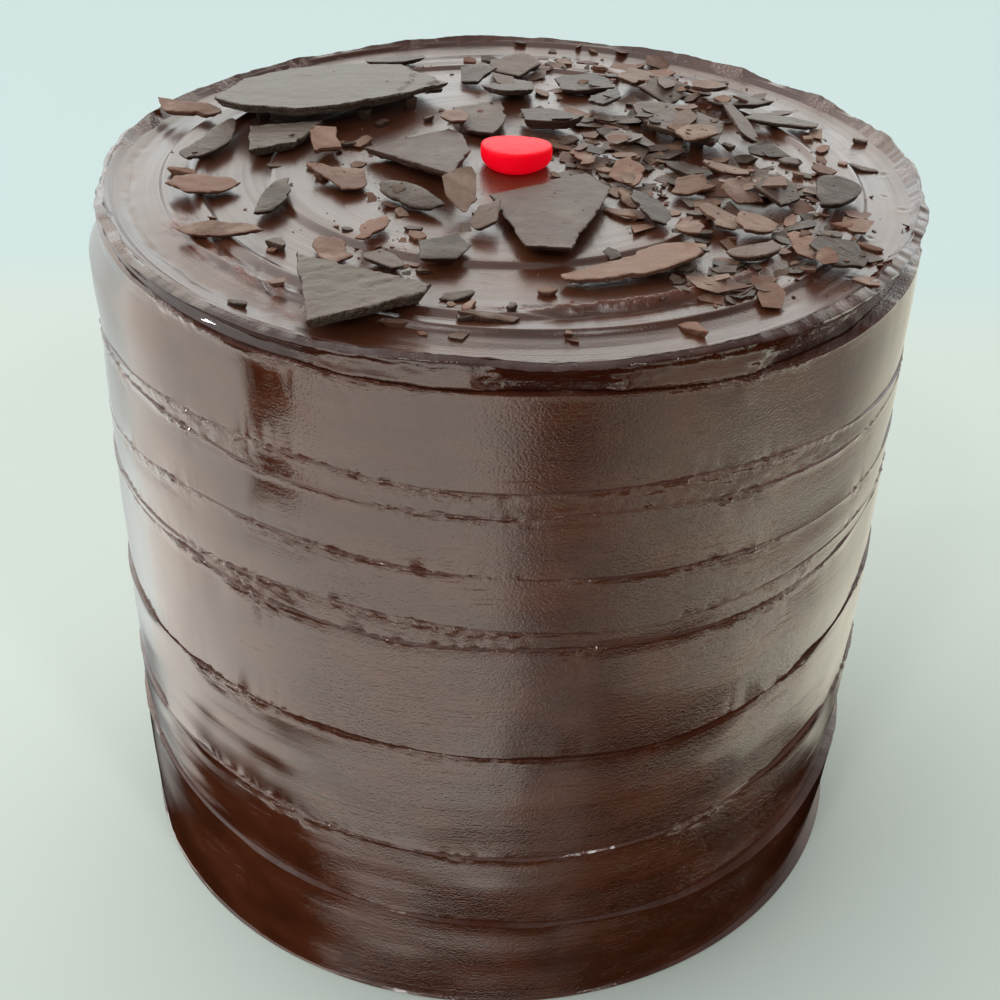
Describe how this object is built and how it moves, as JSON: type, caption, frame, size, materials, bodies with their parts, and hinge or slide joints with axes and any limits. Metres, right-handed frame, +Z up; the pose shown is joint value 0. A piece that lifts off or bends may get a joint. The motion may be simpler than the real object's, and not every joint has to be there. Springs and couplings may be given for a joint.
{
  "type": "chocolate cake",
  "caption": "Tall round chocolate cake in dark ganache smoothed in level bands, with a raised rim and a top of broken chocolate pieces and one red sweet.",
  "frame": {"origin": "centre of the bounding box of the underside, on the face the cake stands on", "axes": "+Z up through the cake, -Y towards the front seen in the picture, +X to its right"},
  "size_m": [0.1628, 0.1616, 0.155],
  "materials": {
    "ganache": "glossy dark chocolate ganache",
    "dark": "dark chocolate, dull and broken",
    "milk": "milk chocolate, dull and broken",
    "sweet": "polished red sugar coating"
  },
  "bodies": {
    "root": {"cake": "ganache", "sweet": "sweet", "rim_flake": "milk", "curved_left": "dark", "ridged_left": "dark", "under_slab": "milk", "behind_sweet": "dark", "slab_back_left": "dark", "slab_mid_left": "dark", "slab_front_left": "dark", "slab_centre": "dark", "long_flake": "milk", "slab_back_right": "dark", "leaf_right": "dark", "shard_01": "dark", "shard_02": "milk", "shard_03": "dark", "shard_04": "milk", "shard_05": "milk", "shard_06": "milk", "shard_07": "milk", "shard_08": "dark", "shard_09": "dark", "shard_10": "milk", "shard_11": "dark", "shard_12": "milk", "shard_13": "milk", "shard_14": "dark", "shard_15": "dark", "shard_16": "milk", "shard_17": "dark", "shard_18": "dark", "shard_19": "dark", "shard_20": "dark", "shard_21": "dark", "shard_22": "dark", "shard_23": "dark", "shard_24": "dark", "shard_25": "dark", "shard_26": "dark", "shard_27": "dark", "shard_28": "milk", "shard_29": "milk", "shard_30": "dark", "shard_31": "milk", "shard_32": "milk", "shard_33": "milk", "shard_34": "dark", "shard_35": "dark", "shard_36": "milk", "shard_37": "milk", "shard_38": "milk", "shard_39": "dark", "shard_40": "milk", "shard_41": "dark"}
  },
  "joints": []
}
